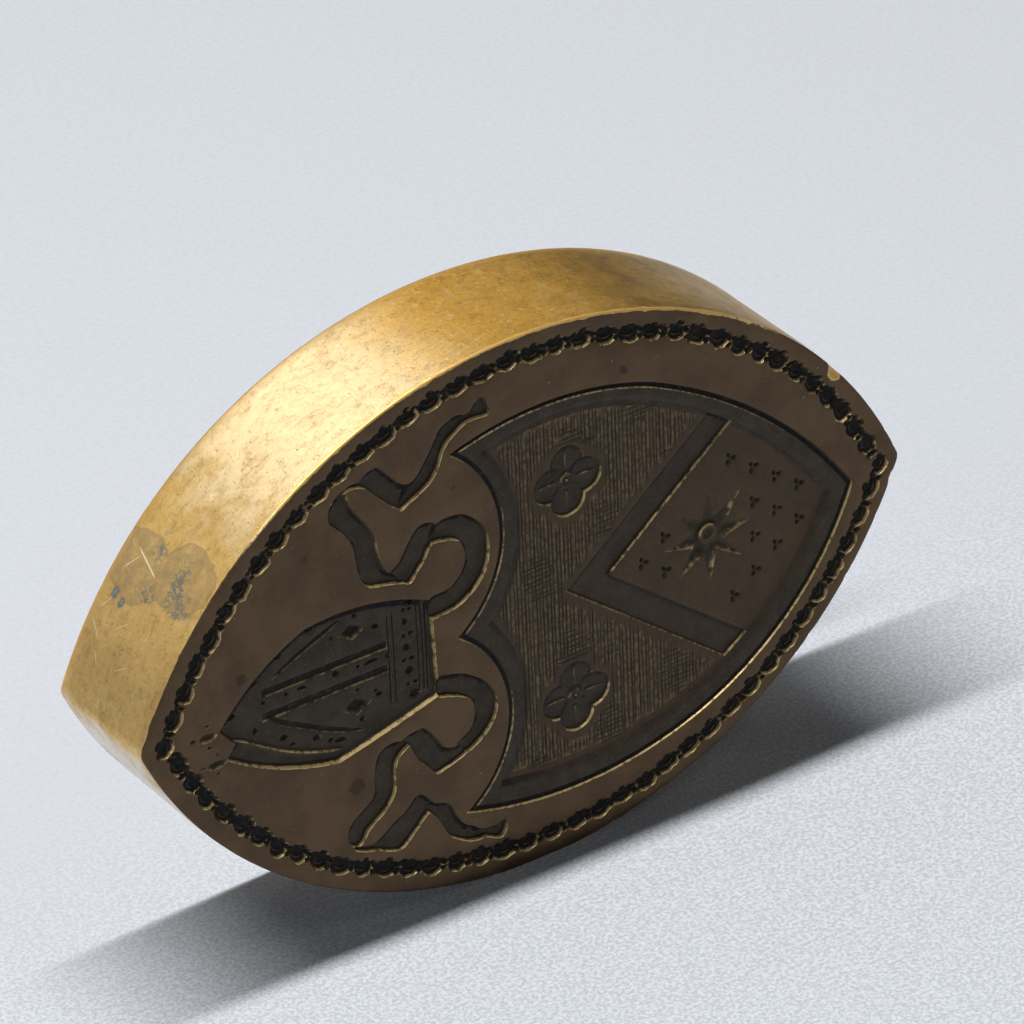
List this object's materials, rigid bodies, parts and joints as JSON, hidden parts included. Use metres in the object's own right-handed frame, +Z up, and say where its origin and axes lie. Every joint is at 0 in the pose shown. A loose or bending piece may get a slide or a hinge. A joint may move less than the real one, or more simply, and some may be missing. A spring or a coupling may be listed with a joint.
{
  "type": "desk seal",
  "caption": "Pointed-oval brass seal matrix with a sunk engraved face, standing on its long edge, with a ring handle hinged to its back that folds flat.",
  "frame": {"origin": "under the middle of the seal, on the surface that its long lower edge stands on", "axes": "+X along the oval, to the right when facing the engraving; +Y from the engraved face to the back; +Z up, across the oval"},
  "size_m": [0.076, 0.0212, 0.0514],
  "materials": {
    "matrix_brass": "aged, worn bright on the sides, dark brown patina on the engraved face",
    "fitting_brass": "aged",
    "handle_brass": "worn bright by hand",
    "pin_brass": "aged, riveted ends",
    "screw_brass": "aged, slotted heads",
    "washer_brass": "bright"
  },
  "bodies": {
    "seal": {"matrix": "matrix_brass", "hinge_plate": "fitting_brass", "hinge_pin": "pin_brass", "plate_screws": "screw_brass", "washers": "washer_brass"},
    "handle": {"handle": "handle_brass"}
  },
  "joints": [
    {"name": "handle_fold", "type": "hinge", "parent": "seal", "child": "handle", "pos_m": [0, 0.00743, 0.02564], "axis": [0, 0, 1], "range_deg": [0, 180]}
  ]
}
